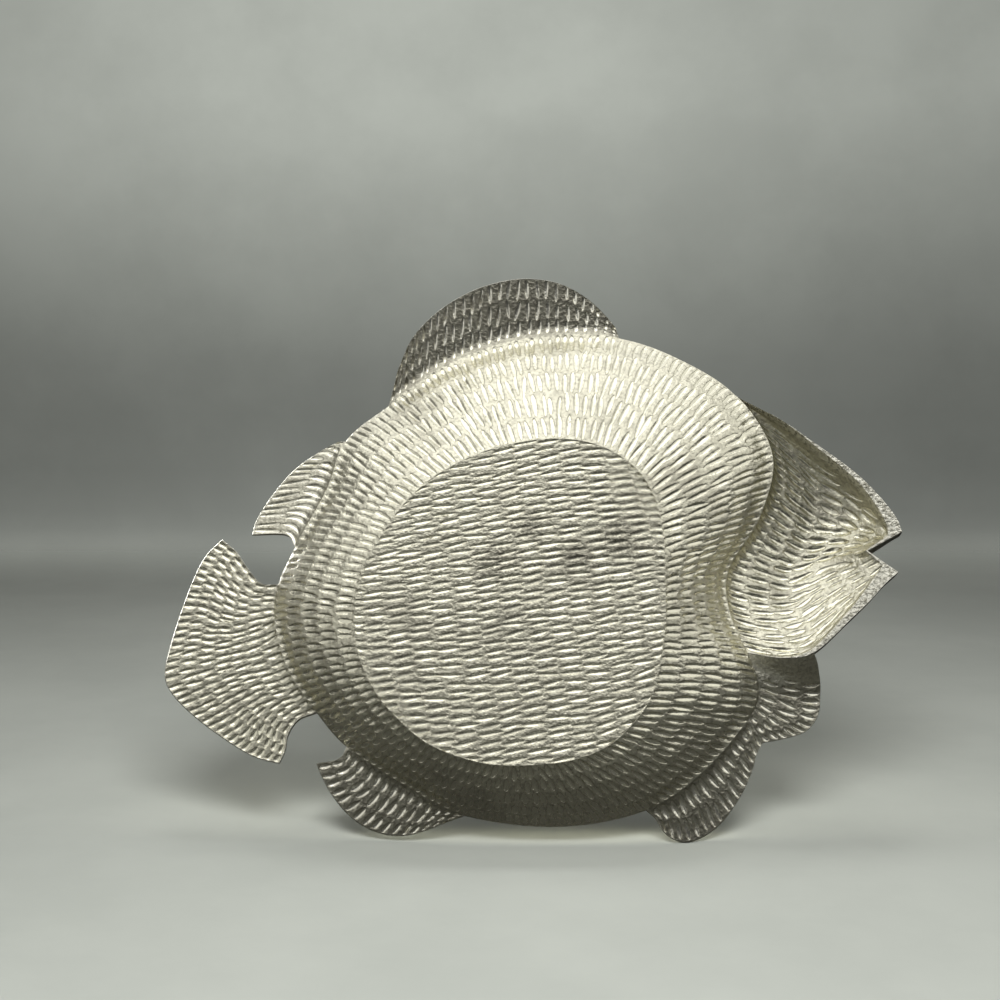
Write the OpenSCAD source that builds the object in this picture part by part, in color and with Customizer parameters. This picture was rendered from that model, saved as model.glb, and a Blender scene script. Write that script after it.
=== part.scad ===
// Fish shaped serving platter, cast in one piece and modelled here section by section.
// It lies in use on its flat foot: +Z up out of the dish, +X towards the tail, +Y towards the dorsal fin.
// The origin is the middle of the foot's underside. All sizes are in millimetres.

/* [Dish] */
// Length of the flat foot, along the fish
foot_len = 197; // [175:1:215]
// Width of the flat foot, across the fish
foot_w = 214; // [190:1:235]
// Length of the dish at its rim, gill to tail root
body_len = 330; // [305:1:360]
// Width of the dish at its rim, belly to back
body_w = 336; // [310:1:370]
// Height of the rim's underside above the table
dish_depth = 40; // [28:1:50]
// Thickness of the cast metal
metal_t = 4.5; // [3:0.5:6]
// Thickness of the metal at the free edges of the fins
edge_t = 3; // [2:0.5:4]

/* [Head] */
// Reach of the head from the gill line to the lips
head_len = 103; // [85:1:125]
// How far the edge of the head hangs below the rim
head_drop = 18; // [8:1:24]
// Rise of the hollow cheek above the head's edge
cheek_rise = 25; // [18:1:30]
// Height of the head's steep edge
brow_h = 12; // [6:1:16]
// Height of the cut lip at the corner of the mouth
lip_h = 20; // [8:1:24]

/* [Fins] */
// Reach of the large dorsal fin
dorsal_out = 62; // [45:1:80]
// How far the dorsal fin's edge turns down
dorsal_drop = 12; // [0:1:20]
// Reach of the small rear dorsal fin
rear_out = 35; // [25:1:45]
// How far the rear dorsal fin's edge turns up
rear_lift = 13; // [0:1:18]
// Reach of the tail
tail_out = 88; // [70:1:105]
// How far the tail's edge turns up
tail_lift = 3; // [0:1:10]
// Reach of the anal fin
anal_out = 37; // [28:1:46]
// How far the anal fin's edge turns up
anal_lift = 10; // [0:1:16]
// Reach of the pelvic fin
pelvic_out = 37; // [28:1:46]
// How far the pelvic fin's edge turns up
pelvic_lift = 10; // [0:1:16]
// Reach of the pectoral fin
pectoral_out = 48; // [38:1:58]
// How far the pectoral fin's edge turns up
pectoral_lift = 9; // [0:1:16]

/* [Hidden] */

// Facets between two points of the rim table, and across the wall, the fins and the head
rim_steps = 5;
wall_steps = 5;
fin_steps = 3;
throat_steps = 4;
jaw_steps = 8;

// Middle of the rim outline, as shares of the dish's length and width
rim_middle_share = [-0.034, 0.089];

// Rim outline: place as shares of half the dish's length and width from its middle,
// and height as a share of the depth. It starts at the tail and runs over the back to the head.
rim_shares = [
    [1.00, -0.20, 1], [0.99, -0.06, 1], [0.93, 0.09, 1], [0.81, 0.33, 1], [0.74, 0.54, 1],
    [0.57, 0.69, 1], [0.36, 0.85, 1], [0.11, 0.96, 1], [-0.14, 1.00, 1], [-0.39, 0.99, 1],
    [-0.63, 0.90, 1], [-0.86, 0.74, 1], [-1.00, 0.48, 1], [-0.94, 0.22, 1], [-0.80, -0.01, 1],
    [-0.80, -0.19, 0.93], [-0.86, -0.35, 0.8], [-0.90, -0.48, 0.93], [-0.86, -0.59, 1], [-0.67, -0.80, 1],
    [-0.45, -0.94, 1], [-0.12, -1.00, 1], [0.24, -0.96, 1], [0.49, -0.84, 1], [0.70, -0.70, 1],
    [0.82, -0.57, 1], [0.94, -0.40, 1]];

// Foot outline, point for point with the rim table, as shares of half the foot's length and width
foot_shares = [
    [1.00, -0.13], [0.98, 0.05], [0.91, 0.25], [0.75, 0.51], [0.57, 0.70],
    [0.37, 0.83], [0.13, 0.93], [-0.12, 0.985], [-0.34, 1.00], [-0.56, 0.965],
    [-0.74, 0.88], [-0.87, 0.76], [-0.965, 0.57], [-1.00, 0.32], [-1.00, 0.08],
    [-0.995, -0.13], [-0.97, -0.32], [-0.925, -0.51], [-0.85, -0.67], [-0.66, -0.86],
    [-0.44, -0.96], [-0.17, -1.00], [0.17, -0.99], [0.51, -0.88], [0.75, -0.69],
    [0.86, -0.56], [0.96, -0.36]];

// Entries of the rim table between which each section grows out of the rim
tail_root = [25, 28];
rear_root = [2, 4];
dorsal_root = [5, 9];
head_root = [11, 16];
pectoral_root = [16, 18];
pelvic_root = [18, 20];
anal_root = [22, 24];

// Outlines of the fins: along the root chord as a share of it, and outward as a share of the reach
dorsal_start_shares = [[0, 0], [0.08, 0.35]];
dorsal_edge_shares = [[0.08, 0.35], [0.18, 0.66], [0.32, 0.87], [0.48, 0.98], [0.63, 0.98],
    [0.74, 0.91], [0.84, 0.77], [0.92, 0.55], [0.97, 0.32], [1.00, 0.12]];
dorsal_end_shares = [[1, 0], [1.00, 0.12]];

rear_start_shares = [[0, 0], [0.08, 0.30], [0.00, 0.97]];
rear_edge_shares = [[0.00, 0.97], [0.12, 1.02], [0.25, 1.00], [0.47, 0.90], [0.67, 0.72],
    [0.86, 0.41], [0.98, 0.14]];
rear_end_shares = [[1, 0], [0.98, 0.14]];

tail_start_shares = [[0, 0], [-0.01, 0.14], [-0.09, 0.24], [-0.19, 0.29], [-0.27, 0.36]];
tail_edge_shares = [[-0.27, 0.36], [-0.16, 0.53], [0.04, 0.71], [0.26, 0.87], [0.47, 0.98],
    [0.62, 0.99], [0.80, 0.90], [1.02, 0.76], [1.24, 0.60], [1.38, 0.47], [1.47, 0.31]];
tail_end_shares = [[1, 0], [1.05, 0.12], [1.18, 0.18], [1.34, 0.23], [1.47, 0.31]];

anal_start_shares = [[0, 0], [0.09, 0.24]];
anal_edge_shares = [[0.09, 0.24], [0.19, 0.52], [0.30, 0.77], [0.43, 0.93], [0.58, 1.00],
    [0.75, 0.97], [0.93, 0.82], [1.06, 0.64], [1.14, 0.50]];
anal_end_shares = [[1, 0], [1.01, 0.24], [1.14, 0.50]];

pelvic_start_shares = [[0, 0], [0.035, 0.47]];
pelvic_edge_shares = [[0.035, 0.47], [0.12, 0.54], [0.21, 0.68], [0.34, 0.83], [0.49, 0.94],
    [0.64, 1.00], [0.79, 0.98], [0.92, 0.85], [0.985, 0.64], [1.00, 0.41]];
pelvic_end_shares = [[1, 0], [0.985, 0.20], [1.00, 0.41]];

// Edge of the pectoral fin between the throat and the pelvic fin, with the lift as a third share
pectoral_edge_shares = [[0.16, 0.92, -1.2], [0.29, 0.97, -0.2], [0.43, 1.00, 0.5],
    [0.60, 1.00, 0.9], [0.84, 0.98, 1], [1.05, 0.89, 0.9], [1.20, 0.74, 0.8], [1.30, 0.49, 0.6]];
// How sharply the throat wall turns into the pectoral fin: 1 is an even slope
throat_turn = 1.3;

// Edge of the head: along the gill chord, outward as a share of the reach, and the drop as a share
forehead_shares = [[0.11, 0.27, 0.45], [0.22, 0.50, 0.67], [0.33, 0.72, 0.85], [0.42, 0.86, 0.93],
    [0.51, 0.965, 1], [0.57, 1.00, 1]];
throat_shares = [[1.03, 0.21, 0.95], [1.01, 0.40, 1], [0.89, 0.64, 1], [0.82, 0.77, 1],
    [0.76, 0.87, 1], [0.715, 0.96, 1]];
mouth_corner_share = [0.632, 0.78, 0.8];
// Width of the flat ground band along the head's edge, as a share of the head's width at the mouth
band_share = 0.22;
// Where the cheek is highest from forehead to throat, and how squarely it meets them: 1 is a plain arch
cheek_high_share = 0.28;
cheek_square = 0.7;
// How near the gill line the cheek is highest: 1 is half way to the lips
cheek_near_gill = 0.75;
// How close to the mouth the cheek turns into the cut lip, and to the edge into the steep brow: 1 is even
lip_square = 3;
brow_square = 4;

// Part of the wall's rise that bows, and how much of a quarter round the bow uses
wall_bow_share = 0.35;
wall_round_share = 0.9;

rim_count = len(rim_shares)*rim_steps;
rim_middle = [rim_middle_share.x*body_len, rim_middle_share.y*body_w];

// Point at share t of the smooth curve from b to c, whose neighbours are a and d
function smooth_point(a, b, c, d, t) =
    (2*b + (c - a)*t + (2*a - 5*b + 4*c - d)*t*t + (3*b - a - 3*c + d)*t*t*t)/2;

function closed_curve(p, steps) = let (n = len(p))
    [for (i = [0:n - 1], j = [0:steps - 1])
        smooth_point(p[(i + n - 1) % n], p[i], p[(i + 1) % n], p[(i + 2) % n], j/steps)];

// Point at share w of the smooth curve through the list p, which ends where the list does
function open_point(p, w) = let (n = len(p) - 1, i = min(n - 1, floor(w*n)))
    smooth_point(i > 0 ? p[i - 1] : 2*p[0] - p[1], p[i], p[i + 1],
        i < n - 1 ? p[i + 2] : 2*p[n] - p[n - 1], w*n - i);
function open_curve(p, steps) = [for (k = [0:steps]) open_point(p, k/steps)];

rim_line = closed_curve([for (s = rim_shares)
    [rim_middle.x + s[0]*body_len/2, rim_middle.y + s[1]*body_w/2, s[2]*dish_depth]], rim_steps);
foot_line = closed_curve([for (s = foot_shares) [s[0]*foot_len/2, s[1]*foot_w/2]], rim_steps);

function rim_point(k) = rim_line[k % rim_count];
function root_line(ends) = [for (k = [ends[0]*rim_steps:ends[1]*rim_steps]) rim_point(k)];

// Point beside a root: share s along its chord, distance out from it, at height z
function beside(ends, s, out, z) = let (
        a = rim_point(ends[0]*rim_steps),
        b = rim_point(ends[1]*rim_steps),
        chord = [b.x - a.x, b.y - a.y],
        outward = [chord.y, -chord.x]/norm(chord))
    [a.x + chord.x*s + outward.x*out, a.y + chord.y*s + outward.y*out, z];
function fin_points(ends, shares, out, lift) =
    [for (p = shares) beside(ends, p[0], p[1]*out, dish_depth + p[1]*lift)];

// Side of a fin: it starts at the root's own corner point
function side_line(corner, points, steps) =
    open_curve(concat([corner], [for (i = [1:len(points) - 1]) points[i]]), steps);

// Grid of points between a root line, an edge line and the two side lines that join their ends.
// z_turn above 1 keeps the height of the starting side close to that side.
function patch(root, edge, start, end, z_turn = 1) = let (
        n = len(root) - 1,
        m = len(start) - 1,
        reach = row_reach(start, end))
    [for (i = [0:n]) [for (j = [0:m]) let (
            s = i/n,
            t = reach[j],
            sz = 1 - pow(1 - s, z_turn),
            flat_p = patch_point(root, edge, start, end, i, j, s, t),
            high_p = patch_point(root, edge, start, end, i, j, sz, t))
        [flat_p.x, flat_p.y, high_p.z]]];
// How far each row of a patch has come, from 0 at the root to 1 at the edge
function row_reach(start, end) = let (
        m = len(start) - 1,
        middle = [for (j = [0:m]) (start[j] + end[j])/2])
    [for (j = [0:m]) norm(middle[j] - middle[0])/norm(middle[m] - middle[0])];
function patch_point(root, edge, start, end, i, j, s, t) = let (n = len(root) - 1)
    (1 - t)*root[i] + t*edge[i] + (1 - s)*start[j] + s*end[j]
        - (1 - s)*((1 - t)*root[0] + t*edge[0]) - s*((1 - t)*root[n] + t*edge[n]);

// Two triangles over the corners a, b, c, d
function two(a, b, c, d) = [[a, b, c], [a, c, d]];

// Closed solid between two grids of points, the lower one first
module slab(under, top) {
    n = len(under) - 1;
    m = len(under[0]) - 1;
    row = m + 1;
    up = (n + 1)*row;
    last = n*row;
    faces = concat(
        [for (i = [0:row:last - 1], j = [i:i + m - 1], f = two(j, j + 1, j + row + 1, j + row)) f],
        [for (i = [up:row:up + last - 1], j = [i:i + m - 1], f = two(j, j + row, j + row + 1, j + 1)) f],
        [for (i = [0:row:last - 1], f = two(i, i + row, up + i + row, up + i)) f],
        [for (i = [m:row:last - 1], f = two(i + row, i, up + i, up + i + row)) f],
        [for (j = [0:m - 1], f = two(j + 1, j, up + j, up + j + 1)) f],
        [for (j = [last:last + m - 1], f = two(j, j + 1, up + j + 1, up + j)) f]);
    polyhedron(points = [for (grid = [under, top], line = grid, p = line) p], faces = faces, convexity = 6);
}

// Closed ring through equal loops of points
module ring(loops) {
    n = len(loops);
    m = len(loops[0]);
    faces = [for (i = [0:n - 1], j = [0:m - 1], f = two(i*m + j, i*m + (j + 1) % m,
        ((i + 1) % n)*m + (j + 1) % m, ((i + 1) % n)*m + j)) f];
    polyhedron(points = [for (loop = loops, p = loop) p], faces = faces, convexity = 6);
}

// Fin of cast metal, thinner at its free edge
module fin(under, root_t = metal_t) {
    m = len(under[0]) - 1;
    slab(under, [for (line = under) [for (j = [0:m]) line[j] + [0, 0, root_t + (edge_t - root_t)*j/m]]]);
}

module plain_fin(ends, start_shares, edge_shares, end_shares, out, lift, steps = fin_steps) {
    root = root_line(ends);
    edge = open_curve(fin_points(ends, edge_shares, out, lift), len(root) - 1);
    start = side_line(root[0], fin_points(ends, start_shares, out, lift), steps);
    end = side_line(root[len(root) - 1], fin_points(ends, end_shares, out, lift), steps);
    fin(patch(root, edge, start, end));
}

// Height of the dish wall at share r of its way out, as a share of the depth, and its slope there
function bow(r) = 1 - sqrt(1 - pow(wall_round_share*r, 2));
function wall_height(r) = (1 - wall_bow_share)*r + wall_bow_share*bow(r)/bow(1);
function wall_slope(r) = (1 - wall_bow_share)
    + wall_bow_share*pow(wall_round_share, 2)*r/sqrt(1 - pow(wall_round_share*r, 2))/bow(1);

// Section of the dish wall at one station: underside from foot to rim, then the inside back down
function wall_loop(k) = let (
        foot = foot_line[k],
        rim = rim_line[k],
        way = [rim.x - foot.x, rim.y - foot.y],
        width = norm(way),
        outward = way/width,
        under = [for (i = [0:wall_steps]) let (r = i/wall_steps)
            [foot.x + way.x*r, foot.y + way.y*r, rim.z*wall_height(r)]],
        inside = [for (i = [wall_steps:-1:1]) let (
                r = i/wall_steps,
                tilt = atan(rim.z*wall_slope(r)/width),
                back = width*r - metal_t*sin(tilt))
            [foot.x + outward.x*back, foot.y + outward.y*back, rim.z*wall_height(r) + metal_t*cos(tilt)]])
    concat(under, [rim + [0, 0, metal_t]], inside, [[foot.x, foot.y, metal_t]]);

module foot_panel() {
    color("silver") linear_extrude(metal_t) polygon(foot_line);
}

module dish_wall() {
    color("silver") ring([for (k = [0:rim_count - 1]) wall_loop(k)]);
}

// Lines along the head's edge, from the gill line to the lips
function head_point(p) = beside(head_root, p[0], p[1]*head_len, dish_depth - p[2]*head_drop);
function forehead_line() = let (root = root_line(head_root))
    open_curve(concat([root[0]], [for (p = forehead_shares) head_point(p)]), throat_steps + jaw_steps);
function throat_line() = let (root = root_line(head_root), gill_end = root[len(root) - 1])
    open_curve(concat([gill_end], [for (p = throat_shares) head_point(p)]), throat_steps + jaw_steps);

// The mouth is a straight sided notch between the upper lip and the jaw
function mouth_line(lip, jaw, n) = let (corner = head_point(mouth_corner_share), half = floor(n/2))
    [for (i = [0:n]) i < half ? lip + (corner - lip)*i/half : corner + (jaw - corner)*(i - half)/(n - half)];

// Arch of the cheek, 0 at the edge and 1 at its height, as far in as the flat band leaves it
function arch(s, t, band) = let (
        b = band*t*t,
        across = max(0, min(1, (s - b)/(1 - 2*b))),
        along = min(1, t/(1 - band/3)),
        lean = ln(0.5)/ln(cheek_high_share))
    pow(sin(180*pow(across, lean)), cheek_square)*sin(180*pow(along, cheek_near_gill));

// Height that the steep brow and throat add above the metal, none at the gill line
function edge_height(s, t) =
    (brow_h - metal_t)*pow(1 - sin(180*s), brow_square)*sin(90*min(1, 2*t));

module head() {
    root = root_line(head_root);
    n = len(root) - 1;
    brow = forehead_line();
    throat = throat_line();
    m = len(brow) - 1;
    flat_grid = patch(root, mouth_line(brow[m], throat[m], n), brow, throat);
    under = [for (i = [0:n]) [for (j = [0:m])
        flat_grid[i][j] + [0, 0, cheek_rise*arch(i/n, j/m, band_share)]]];
    top = [for (i = [0:n]) [for (j = [0:m]) let (lip = pow(j/m, lip_square))
        flat_grid[i][j] + [0, 0, metal_t + edge_height(i/n, j/m)
            + (lip_h - metal_t)*lip*pow(sin(180*i/n), cheek_square)
            + cheek_rise*arch(i/n, j/m, 0)*(1 - lip)]]];
    color("silver") slab(under, top);
}

module dorsal_fin() {
    color("silver") plain_fin(dorsal_root, dorsal_start_shares, dorsal_edge_shares, dorsal_end_shares,
        dorsal_out, -dorsal_drop);
}

module rear_dorsal_fin() {
    color("silver") plain_fin(rear_root, rear_start_shares, rear_edge_shares, rear_end_shares,
        rear_out, rear_lift);
}

module tail_fin() {
    color("silver") plain_fin(tail_root, tail_start_shares, tail_edge_shares, tail_end_shares,
        tail_out, tail_lift, throat_steps);
}

module anal_fin() {
    color("silver") plain_fin(anal_root, anal_start_shares, anal_edge_shares, anal_end_shares,
        anal_out, anal_lift);
}

// Line where the pelvic and the pectoral fin join, from the rim to the notch between them
function fin_joint() = let (root = root_line(pelvic_root))
    side_line(root[0], fin_points(pelvic_root, pelvic_start_shares, pelvic_out, pelvic_lift), throat_steps);

module pelvic_fin() {
    color("silver") plain_fin(pelvic_root, pelvic_start_shares, pelvic_edge_shares, pelvic_end_shares,
        pelvic_out, pelvic_lift, throat_steps);
}

module pectoral_fin() {
    root = root_line(pectoral_root);
    start = [for (j = [0:throat_steps]) throat_line()[j]];
    end = fin_joint();
    edge = open_curve(concat([start[throat_steps]],
        [for (p = pectoral_edge_shares)
            beside(pectoral_root, p[0], p[1]*pectoral_out, dish_depth + p[2]*pectoral_lift)],
        [end[throat_steps]]), len(root) - 1);
    color("silver") fin(patch(root, edge, start, end, throat_turn));
}

foot_panel();
dish_wall();
head();
dorsal_fin();
rear_dorsal_fin();
tail_fin();
anal_fin();
pelvic_fin();
pectoral_fin();
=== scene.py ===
# %% [markdown]
# A fish shaped serving platter, sand cast in aluminium and covered all over with the marks of a
# hand gouge. The photograph shows its underside: the platter stands on its lower fins and leans
# back, lit from above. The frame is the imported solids. They lie as the platter does in use, flat
# on its foot, with +Z up out of the dish, +X towards the tail and +Y towards the dorsal fin, in
# metres. Every piece below stays in that frame.

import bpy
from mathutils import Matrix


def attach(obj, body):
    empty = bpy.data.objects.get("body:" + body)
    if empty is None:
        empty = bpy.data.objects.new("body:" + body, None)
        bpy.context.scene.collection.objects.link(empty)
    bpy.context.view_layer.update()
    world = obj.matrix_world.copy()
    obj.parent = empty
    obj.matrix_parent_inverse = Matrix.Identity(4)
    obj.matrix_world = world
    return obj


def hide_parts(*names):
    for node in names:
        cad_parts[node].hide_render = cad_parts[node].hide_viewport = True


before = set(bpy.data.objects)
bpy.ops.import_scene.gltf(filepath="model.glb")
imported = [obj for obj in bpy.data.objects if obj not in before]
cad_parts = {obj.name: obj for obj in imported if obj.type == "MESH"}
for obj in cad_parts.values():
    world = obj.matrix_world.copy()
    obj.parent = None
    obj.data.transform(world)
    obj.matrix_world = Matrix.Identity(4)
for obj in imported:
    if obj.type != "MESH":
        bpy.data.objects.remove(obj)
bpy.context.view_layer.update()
print("sections in the frame:", sorted(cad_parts))

# %% Tools used throughout
import math

import bpy
import numpy as np
from mathutils import Matrix, Vector

MM = 0.001

# %% [markdown]
# The camera comes first, because the stage is fitted to it. The platter could be stood up before a
# level camera, but then it would no longer lie where its solids do. So it stays flat, and the
# camera goes below and in front of it and looks at the underside. The photograph was taken from a
# little under 16 degrees above the middle of the foot's own face, with a longish lens. The platter
# sits low in the picture, so the camera is turned up a little.

# %% Camera
PHOTO_PX = 1000
FOCAL_PX = 1771
SENSOR_MM = 36.0
CAMERA_RISE = math.radians(16)
CAMERA_DISTANCE = 1.121
# Where the photograph shows the middle of the foot
FOOT_MIDDLE_PX = (510.0, 596.5)

to_camera = Vector((0, -math.sin(CAMERA_RISE), -math.cos(CAMERA_RISE)))
image_up = Vector((0, math.cos(CAMERA_RISE), -math.sin(CAMERA_RISE)))
image_right = Vector((-1, 0, 0))


def add_camera():
    """Add the camera that sees the platter as the photograph does."""
    turn_right = (FOOT_MIDDLE_PX[0] - PHOTO_PX/2)/FOCAL_PX
    turn_up = (FOOT_MIDDLE_PX[1] - PHOTO_PX/2)/FOCAL_PX
    ahead = (-to_camera - turn_right*image_right + turn_up*image_up).normalized()
    right = (image_right - image_right.dot(ahead)*ahead).normalized()
    up = right.cross(ahead)
    bpy.ops.object.camera_add(location=to_camera*CAMERA_DISTANCE)
    camera = bpy.context.object
    camera.name = "camera"
    camera.rotation_euler = Matrix((right, up, -ahead)).transposed().to_euler()
    camera.data.sensor_width = SENSOR_MM
    camera.data.lens = FOCAL_PX*SENSOR_MM/PHOTO_PX
    bpy.context.scene.camera = camera
    return camera


camera = add_camera()
print("camera at", [round(v, 3) for v in camera.location])
print("lens", round(camera.data.lens, 1), "mm")

# %% [markdown]
# The platter's form could be sculpted by eye. It is drawn with few points instead, because a table
# of numbers is easy to correct against the photograph. One smooth closed line is the rim, another
# the foot, and the fins and the head grow out of named stretches of the rim. The same sizes and
# shares as in the solids are used here, at a finer step, so each piece stays where its solid is.

# %% Sizes, in metres
FOOT_LEN = 0.197
FOOT_W = 0.214
BODY_LEN = 0.330
BODY_W = 0.336
DISH_DEPTH = 0.040
METAL_T = 0.0045
EDGE_T = 0.003

# %% Points of the rim and the foot
# A rim point is its place along and across the dish, as shares of half of each, and its height
RIM_SHARES = [
    (1.00, -0.20, 1), (0.99, -0.06, 1), (0.93, 0.09, 1), (0.81, 0.33, 1), (0.74, 0.54, 1),
    (0.57, 0.69, 1), (0.36, 0.85, 1), (0.11, 0.96, 1), (-0.14, 1.00, 1), (-0.39, 0.99, 1),
    (-0.63, 0.90, 1), (-0.86, 0.74, 1), (-1.00, 0.48, 1), (-0.94, 0.22, 1), (-0.80, -0.01, 1),
    (-0.80, -0.19, 0.93), (-0.86, -0.35, 0.8), (-0.90, -0.48, 0.93), (-0.86, -0.59, 1),
    (-0.67, -0.80, 1), (-0.45, -0.94, 1), (-0.12, -1.00, 1), (0.24, -0.96, 1), (0.49, -0.84, 1),
    (0.70, -0.70, 1), (0.82, -0.57, 1), (0.94, -0.40, 1)]
FOOT_SHARES = [
    (1.00, -0.13), (0.98, 0.05), (0.91, 0.25), (0.75, 0.51), (0.57, 0.70), (0.37, 0.83),
    (0.13, 0.93), (-0.12, 0.985), (-0.34, 1.00), (-0.56, 0.965), (-0.74, 0.88), (-0.87, 0.76),
    (-0.965, 0.57), (-1.00, 0.32), (-1.00, 0.08), (-0.995, -0.13), (-0.97, -0.32),
    (-0.925, -0.51), (-0.85, -0.67), (-0.66, -0.86), (-0.44, -0.96), (-0.17, -1.00),
    (0.17, -0.99), (0.51, -0.88), (0.75, -0.69), (0.86, -0.56), (0.96, -0.36)]
RIM_MIDDLE = (-0.034*BODY_LEN, 0.089*BODY_W)
RIM_POINTS = np.array([
    (RIM_MIDDLE[0] + x*BODY_LEN/2, RIM_MIDDLE[1] + y*BODY_W/2, z*DISH_DEPTH)
    for x, y, z in RIM_SHARES])
FOOT_POINTS = np.array([(x*FOOT_LEN/2, y*FOOT_W/2, 0) for x, y in FOOT_SHARES])
print("points:", len(RIM_POINTS), "on the rim and", len(FOOT_POINTS), "on the foot")

# %% [markdown]
# A smooth curve through the points stands for the soft outline of a casting. A Bezier curve object
# could do that too, but its handles would need setting point by point. This curve takes its
# direction at each point from the two neighbours, so the points alone say all.


# %% Smooth lines
def smooth(a, b, c, d, t):
    """Point at share t of the smooth curve from b to c, whose neighbours are a and d."""
    return (2*b + (c - a)*t + (2*a - 5*b + 4*c - d)*t*t + (3*b - a - 3*c + d)*t**3)/2


def on_closed(points, w):
    """Points at places w, in table entries, of the closed curve through the table."""
    n = len(points)
    i = np.floor(w).astype(int)
    a, b, c, d = (points[(i + k) % n] for k in (-1, 0, 1, 2))
    return smooth(a, b, c, d, (w - i)[:, None])


def on_open(points, count):
    """Count + 1 points, evenly spaced in table entries, of the open curve through the table."""
    points = np.asarray(points, float)
    n = len(points) - 1
    full = np.vstack([2*points[0] - points[1], points, 2*points[n] - points[n - 1]])
    w = np.linspace(0, n, count + 1)
    i = np.minimum(np.floor(w).astype(int), n - 1)
    return smooth(full[i], full[i + 1], full[i + 2], full[i + 3], (w - i)[:, None])


def lengths(line):
    """How far each point lies along a line of points."""
    steps = np.linalg.norm(np.diff(line, axis=0), axis=1)
    return np.concatenate([[0], np.cumsum(steps)])


rim_round = on_closed(RIM_POINTS, np.linspace(0, len(RIM_POINTS), 541))
print("way round the rim:", round(lengths(rim_round)[-1], 3), "m")

# %% [markdown]
# Where a fin leaves the rim, the real casting has no sharp corner: the pattern maker fills such a
# corner with wax or putty, so that the molten metal flows through it. A bevel along the corner
# could make that fillet, if wall and fin were one mesh. They are two pieces, so both are thickened
# by the same amount where they meet, and less and less further away.

# %% Fillet
# Stretches of the rim table that carry a fin or the head
FIN_ROOTS = ((5, 9), (2, 4), (25, 28), (22, 24), (18, 20), (11, 15.6))
FILLET = 2.4*MM
FILLET_REACH = 8*MM
# Over this much of the table, from each end of a stretch, the fillet grows to its full size
FILLET_END = 0.35


def fillet(w, away):
    """Metal added at place w of the rim table, this far from the rim."""
    w = np.asarray(w, float) % len(RIM_POINTS)
    ends = np.zeros_like(w)
    for first, last in FIN_ROOTS:
        share = np.minimum(w - first, last - w)
        ends = np.maximum(ends, np.clip(share/FILLET_END, 0, 1))
    return FILLET*(ends*(2 - ends))[:, None]*np.clip(1 - away/FILLET_REACH, 0, 1)**2


print("fillet:", round(fillet([7], np.zeros((1, 1))).max()/MM, 1), "mm under the dorsal fin")

# %% [markdown]
# Each section starts as a flat sheet with many small faces, less than a millimetre wide across the
# gouge marks, so that each mark gets its own shape. Subdividing a coarse plate would make small
# faces too, but as many along the marks as across them, and along them fewer will do. For a fin,
# the foot or the head the sheet is extruded upwards in three steps, which gives a closed slab. The
# wall is a ring, so its sheet is rolled up both ways, into a flat tube, and merged where it meets
# itself.


# %% Blank sheet
def only(piece):
    """Select one piece and nothing else."""
    bpy.ops.object.select_all(action="DESELECT")
    piece.select_set(True)
    bpy.context.view_layer.objects.active = piece


def blank_sheet(name, along, across):
    """Add a flat sheet of along by across squares, with x and y from 0 to 1."""
    bpy.ops.object.select_all(action="DESELECT")
    bpy.ops.mesh.primitive_grid_add(x_subdivisions=along, y_subdivisions=across, size=1,
                                    location=(0.5, 0.5, 0))
    piece = bpy.context.object
    piece.name = name
    piece.data.name = name
    bpy.ops.object.transform_apply(location=True, rotation=True, scale=True)
    return piece


def merge_seams(piece):
    """Merge the points that lie on each other where a rolled up sheet meets itself."""
    only(piece)
    bpy.ops.object.mode_set(mode="EDIT")
    bpy.ops.mesh.select_all(action="SELECT")
    bpy.ops.mesh.remove_doubles(threshold=0.001*MM)
    bpy.ops.object.mode_set(mode="OBJECT")


# %% Blank slab
LAYERS = 4


def blank_slab(name, along, out):
    """Add a closed slab of along by out squares, whose z is the layer, from 0 to 3."""
    piece = blank_sheet(name, along, out)
    bpy.ops.object.mode_set(mode="EDIT")
    bpy.ops.mesh.select_all(action="SELECT")
    for _ in range(LAYERS - 1):
        bpy.ops.mesh.extrude_region_move(TRANSFORM_OT_translate={"value": (0, 0, 1)})
    bpy.ops.object.mode_set(mode="OBJECT")
    return piece


# %% Reading and moving points
def read_points(piece):
    """The piece's points as an array."""
    flat = np.empty(len(piece.data.vertices)*3, np.float32)
    piece.data.vertices.foreach_get("co", flat)
    return flat.reshape(-1, 3)


def write_points(piece, points, marks):
    """Move the piece's points, and keep one value per point under each name in marks."""
    piece.data.vertices.foreach_set("co", points.astype(np.float32).ravel())
    for name, values in marks.items():
        store = piece.data.attributes.new(name, "FLOAT", "POINT")
        store.data.foreach_set("value", values.astype(np.float32).ravel())
    piece.data.update()


# %% [markdown]
# The whole platter is textured with a gouge: short oval cuts, side by side in rows, each a little
# different. They could be a bump in the material, which costs nothing, but a bump has no depth from
# the side and the exported mesh would be bare. So they are cut into the mesh. A cut is the bottom
# of an ellipsoid pressed into the metal. Where two cuts overlap the deeper one wins, which leaves
# the sharp ridges between them that catch the light on the real one.

# %% One row of cuts
# How much the cuts of a row differ from each other, as shares of the row's own cut
CUT_LENGTHS = (0.85, 1.08)
CUT_SHIFT = 0.06
CUT_SIDE = 0.09
CUT_TURN = 0.06
CUT_DEPTHS = (0.55, 1.2)
CUT_WIDTHS = (0.86, 1.1)
CUT_TAPER = 0.6
CUT_TIP = 0.02
BEND = 1.5


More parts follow.
